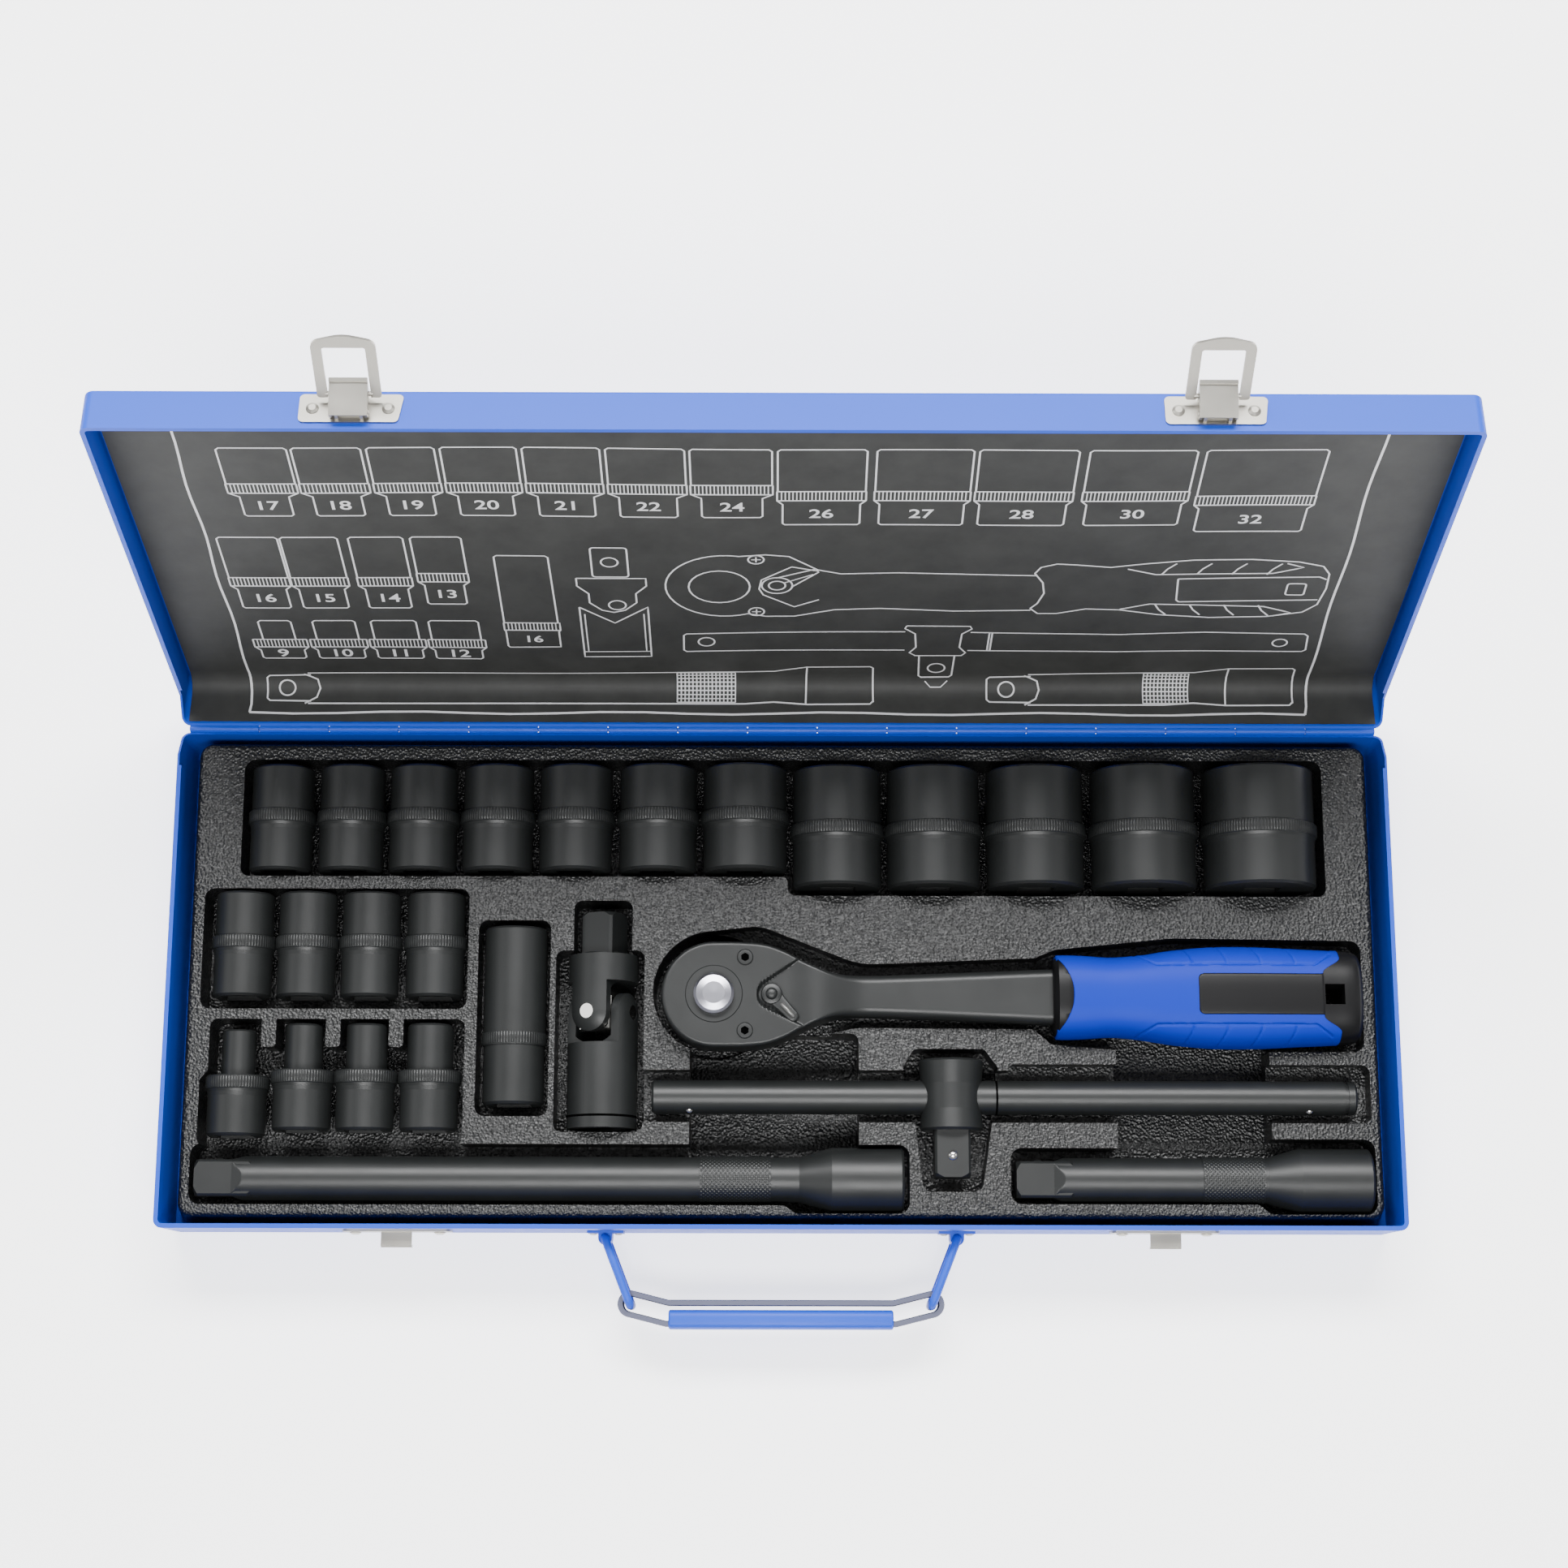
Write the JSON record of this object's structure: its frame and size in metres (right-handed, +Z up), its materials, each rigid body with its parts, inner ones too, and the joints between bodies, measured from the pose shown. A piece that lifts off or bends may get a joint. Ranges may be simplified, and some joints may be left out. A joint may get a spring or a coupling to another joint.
{
  "type": "socket wrench set in case",
  "caption": "Open steel case with a moulded tray of half-inch-drive sockets, ratchet, extension bars, sliding T-bar and universal joint.",
  "frame": {"origin": "centre of the flat underside of the case's base", "axes": "+X to the right along the case's length, +Y to the back where the lid is hinged, +Z up"},
  "size_m": [0.437, 0.2932, 0.2195],
  "materials": {
    "case_blue_paint": "semi-gloss enamel",
    "black_tray": "grained vacuum-formed sheet",
    "printed_card": "printed matt card",
    "nickel_plate": "satin nickel plate",
    "grey_steel": "bare rolled strip",
    "black_phosphate_steel": "matt black phosphate",
    "bright_steel": "polished",
    "chrome_button": "satin chrome",
    "blue_grip": "satin moulded grip",
    "black_grip": "satin moulded core"
  },
  "bodies": {
    "base": {"base_shell": "case_blue_paint", "tool_tray": "black_tray", "hinge_base_leaf": "case_blue_paint", "hinge_pin": "nickel_plate", "latch_catches": "nickel_plate", "base_rivets": "nickel_plate", "handle_brackets": "case_blue_paint"},
    "lid": {"lid_shell": "case_blue_paint", "lid_insert": "printed_card", "hinge_lid_leaf": "case_blue_paint", "latch_plates": "nickel_plate", "latch_pins": "nickel_plate", "latch_rivets": "nickel_plate"},
    "left_latch_lever": {"left_latch_lever": "nickel_plate"},
    "left_latch_loop": {"left_latch_loop": "nickel_plate"},
    "right_latch_lever": {"right_latch_lever": "nickel_plate"},
    "right_latch_loop": {"right_latch_loop": "nickel_plate"},
    "left_handle_link": {"left_handle_link": "case_blue_paint"},
    "right_handle_link": {"right_handle_link": "case_blue_paint"},
    "handle_grip": {"handle_grip_ring": "grey_steel", "handle_grip_sleeve": "case_blue_paint"},
    "socket_17mm": {"socket_17mm": "black_phosphate_steel"},
    "socket_18mm": {"socket_18mm": "black_phosphate_steel"},
    "socket_19mm": {"socket_19mm": "black_phosphate_steel"},
    "socket_20mm": {"socket_20mm": "black_phosphate_steel"},
    "socket_21mm": {"socket_21mm": "black_phosphate_steel"},
    "socket_22mm": {"socket_22mm": "black_phosphate_steel"},
    "socket_24mm": {"socket_24mm": "black_phosphate_steel"},
    "socket_26mm": {"socket_26mm": "black_phosphate_steel"},
    "socket_27mm": {"socket_27mm": "black_phosphate_steel"},
    "socket_28mm": {"socket_28mm": "black_phosphate_steel"},
    "socket_30mm": {"socket_30mm": "black_phosphate_steel"},
    "socket_32mm": {"socket_32mm": "black_phosphate_steel"},
    "socket_16mm": {"socket_16mm": "black_phosphate_steel"},
    "socket_15mm": {"socket_15mm": "black_phosphate_steel"},
    "socket_14mm": {"socket_14mm": "black_phosphate_steel"},
    "socket_13mm": {"socket_13mm": "black_phosphate_steel"},
    "socket_9mm": {"socket_9mm": "black_phosphate_steel"},
    "socket_10mm": {"socket_10mm": "black_phosphate_steel"},
    "socket_11mm": {"socket_11mm": "black_phosphate_steel"},
    "socket_12mm": {"socket_12mm": "black_phosphate_steel"},
    "deep_socket_16mm": {"deep_socket_16mm": "black_phosphate_steel"},
    "long_extension": {"long_extension": "black_phosphate_steel"},
    "short_extension": {"short_extension": "black_phosphate_steel"},
    "tbar_rod": {"tbar_rod": "black_phosphate_steel", "tbar_rod_balls": "bright_steel"},
    "tbar_head": {"tbar_head": "black_phosphate_steel"},
    "ujoint_socket_fork": {"ujoint_socket_fork": "black_phosphate_steel"},
    "ujoint_cross": {"ujoint_cross": "bright_steel"},
    "ujoint_drive_fork": {"ujoint_drive_fork": "black_phosphate_steel"},
    "ratchet": {"ratchet_body": "black_phosphate_steel", "ratchet_cover": "black_phosphate_steel", "ratchet_cover_screws": "black_phosphate_steel", "grip_sleeve": "blue_grip", "grip_core": "black_grip"},
    "drive_gear": {"drive_gear": "black_phosphate_steel", "button_spring": "bright_steel"},
    "quick_release_button": {"quick_release_button": "chrome_button"},
    "reversing_lever": {"reversing_lever": "black_phosphate_steel"},
    "ratchet_pawl": {"ratchet_pawl": "black_phosphate_steel"}
  },
  "joints": [
    {"name": "lid_hinge", "type": "hinge", "parent": "base", "child": "lid", "pos_m": [0, 0.0905, 0.0278], "axis": [-1, 0, 0], "range_deg": [-106, 0]},
    {"name": "left_latch_lever_hinge", "type": "hinge", "parent": "lid", "child": "left_latch_lever", "pos_m": [-0.1345, 0.15209, 0.19978], "axis": [1, 0, 0], "range_deg": [-22, 60]},
    {"name": "left_latch_loop_hinge", "type": "hinge", "parent": "left_latch_lever", "child": "left_latch_loop", "pos_m": [-0.1345, 0.15812, 0.19982], "axis": [-1, 0, 0], "range_deg": [-123.8, 20]},
    {"name": "right_latch_lever_hinge", "type": "hinge", "parent": "lid", "child": "right_latch_lever", "pos_m": [0.1345, 0.15209, 0.19978], "axis": [1, 0, 0], "range_deg": [-22, 60]},
    {"name": "right_latch_loop_hinge", "type": "hinge", "parent": "right_latch_lever", "child": "right_latch_loop", "pos_m": [0.1345, 0.15812, 0.19982], "axis": [-1, 0, 0], "range_deg": [-123.8, 20]},
    {"name": "left_handle_link_swing", "type": "hinge", "parent": "base", "child": "left_handle_link", "pos_m": [-0.062, -0.0915, 0.017], "axis": [0, 0, 1], "range_deg": [0, 31]},
    {"name": "right_handle_link_swing", "type": "hinge", "parent": "base", "child": "right_handle_link", "pos_m": [0.062, -0.0915, 0.017], "axis": [0, 0, 1], "range_deg": [-31, 0]},
    {"name": "handle_grip_fold", "type": "slide", "parent": "base", "child": "handle_grip", "axis": [0, 1, 0], "range_m": [0, 0.0102]},
    {"name": "socket_17mm_lift", "type": "slide", "parent": "base", "child": "socket_17mm", "axis": [0, 0, 1], "range_m": [0, 0.06]},
    {"name": "socket_18mm_lift", "type": "slide", "parent": "base", "child": "socket_18mm", "axis": [0, 0, 1], "range_m": [0, 0.06]},
    {"name": "socket_19mm_lift", "type": "slide", "parent": "base", "child": "socket_19mm", "axis": [0, 0, 1], "range_m": [0, 0.06]},
    {"name": "socket_20mm_lift", "type": "slide", "parent": "base", "child": "socket_20mm", "axis": [0, 0, 1], "range_m": [0, 0.06]},
    {"name": "socket_21mm_lift", "type": "slide", "parent": "base", "child": "socket_21mm", "axis": [0, 0, 1], "range_m": [0, 0.06]},
    {"name": "socket_22mm_lift", "type": "slide", "parent": "base", "child": "socket_22mm", "axis": [0, 0, 1], "range_m": [0, 0.06]},
    {"name": "socket_24mm_lift", "type": "slide", "parent": "base", "child": "socket_24mm", "axis": [0, 0, 1], "range_m": [0, 0.06]},
    {"name": "socket_26mm_lift", "type": "slide", "parent": "base", "child": "socket_26mm", "axis": [0, 0, 1], "range_m": [0, 0.06]},
    {"name": "socket_27mm_lift", "type": "slide", "parent": "base", "child": "socket_27mm", "axis": [0, 0, 1], "range_m": [0, 0.06]},
    {"name": "socket_28mm_lift", "type": "slide", "parent": "base", "child": "socket_28mm", "axis": [0, 0, 1], "range_m": [0, 0.06]},
    {"name": "socket_30mm_lift", "type": "slide", "parent": "base", "child": "socket_30mm", "axis": [0, 0, 1], "range_m": [0, 0.06]},
    {"name": "socket_32mm_lift", "type": "slide", "parent": "base", "child": "socket_32mm", "axis": [0, 0, 1], "range_m": [0, 0.06]},
    {"name": "socket_16mm_lift", "type": "slide", "parent": "base", "child": "socket_16mm", "axis": [0, 0, 1], "range_m": [0, 0.06]},
    {"name": "socket_15mm_lift", "type": "slide", "parent": "base", "child": "socket_15mm", "axis": [0, 0, 1], "range_m": [0, 0.06]},
    {"name": "socket_14mm_lift", "type": "slide", "parent": "base", "child": "socket_14mm", "axis": [0, 0, 1], "range_m": [0, 0.06]},
    {"name": "socket_13mm_lift", "type": "slide", "parent": "base", "child": "socket_13mm", "axis": [0, 0, 1], "range_m": [0, 0.06]},
    {"name": "socket_9mm_lift", "type": "slide", "parent": "base", "child": "socket_9mm", "axis": [0, 0, 1], "range_m": [0, 0.06]},
    {"name": "socket_10mm_lift", "type": "slide", "parent": "base", "child": "socket_10mm", "axis": [0, 0, 1], "range_m": [0, 0.06]},
    {"name": "socket_11mm_lift", "type": "slide", "parent": "base", "child": "socket_11mm", "axis": [0, 0, 1], "range_m": [0, 0.06]},
    {"name": "socket_12mm_lift", "type": "slide", "parent": "base", "child": "socket_12mm", "axis": [0, 0, 1], "range_m": [0, 0.06]},
    {"name": "deep_socket_16mm_lift", "type": "slide", "parent": "base", "child": "deep_socket_16mm", "axis": [0, 0, 1], "range_m": [0, 0.06]},
    {"name": "long_extension_lift", "type": "slide", "parent": "base", "child": "long_extension", "axis": [0, 0, 1], "range_m": [0, 0.06]},
    {"name": "short_extension_lift", "type": "slide", "parent": "base", "child": "short_extension", "axis": [0, 0, 1], "range_m": [0, 0.06]},
    {"name": "tbar_rod_lift", "type": "slide", "parent": "base", "child": "tbar_rod", "axis": [0, 0, 1], "range_m": [0, 0.06]},
    {"name": "ujoint_socket_fork_lift", "type": "slide", "parent": "base", "child": "ujoint_socket_fork", "axis": [0, 0, 1], "range_m": [0, 0.06]},
    {"name": "ratchet_lift", "type": "slide", "parent": "base", "child": "ratchet", "axis": [0, 0, 1], "range_m": [0, 0.06]},
    {"name": "tbar_head_slide", "type": "slide", "parent": "tbar_rod", "child": "tbar_head", "axis": [1, 0, 0], "range_m": [-0.0015, 0.002]},
    {"name": "ujoint_up_swing", "type": "hinge", "parent": "ujoint_socket_fork", "child": "ujoint_cross", "pos_m": [-0.064, -0.0126, 0.021], "axis": [0.8988, 0, 0.4384], "range_deg": [0, 70]},
    {"name": "ujoint_side_swing", "type": "hinge", "parent": "ujoint_cross", "child": "ujoint_drive_fork", "pos_m": [-0.064, -0.0126, 0.021], "axis": [-0.4384, 0, 0.8988], "range_deg": [-3, 0.2]},
    {"name": "drive_gear_spin", "type": "hinge", "parent": "ratchet", "child": "drive_gear", "pos_m": [-0.024, -0.0072, 0.028], "axis": [0, 0, 1], "continuous": true},
    {"name": "quick_release_press", "type": "slide", "parent": "drive_gear", "child": "quick_release_button", "axis": [0, 0, -1], "range_m": [0, 0.003], "stiffness_N_per_m": 400, "springref_m": -0.002, "deforming": ["button_spring"]},
    {"name": "reversing_lever_turn", "type": "hinge", "parent": "ratchet", "child": "reversing_lever", "pos_m": [-0.0036, -0.0072, 0.038], "axis": [0, 0, 1], "range_deg": [0, 92]},
    {"name": "pawl_tip", "type": "hinge", "parent": "ratchet", "child": "ratchet_pawl", "pos_m": [-0.0036, -0.0072, 0.028], "axis": [0, 0, 1], "range_deg": [0, 8.5]}
  ],
  "couplings": [
    {"joint": "left_handle_link_swing", "follows": "handle_grip_fold", "rad_per_m": 53.044},
    {"joint": "right_handle_link_swing", "follows": "handle_grip_fold", "rad_per_m": -53.044},
    {"joint": "pawl_tip", "follows": "reversing_lever_turn", "ratio": 0.086956}
  ]
}
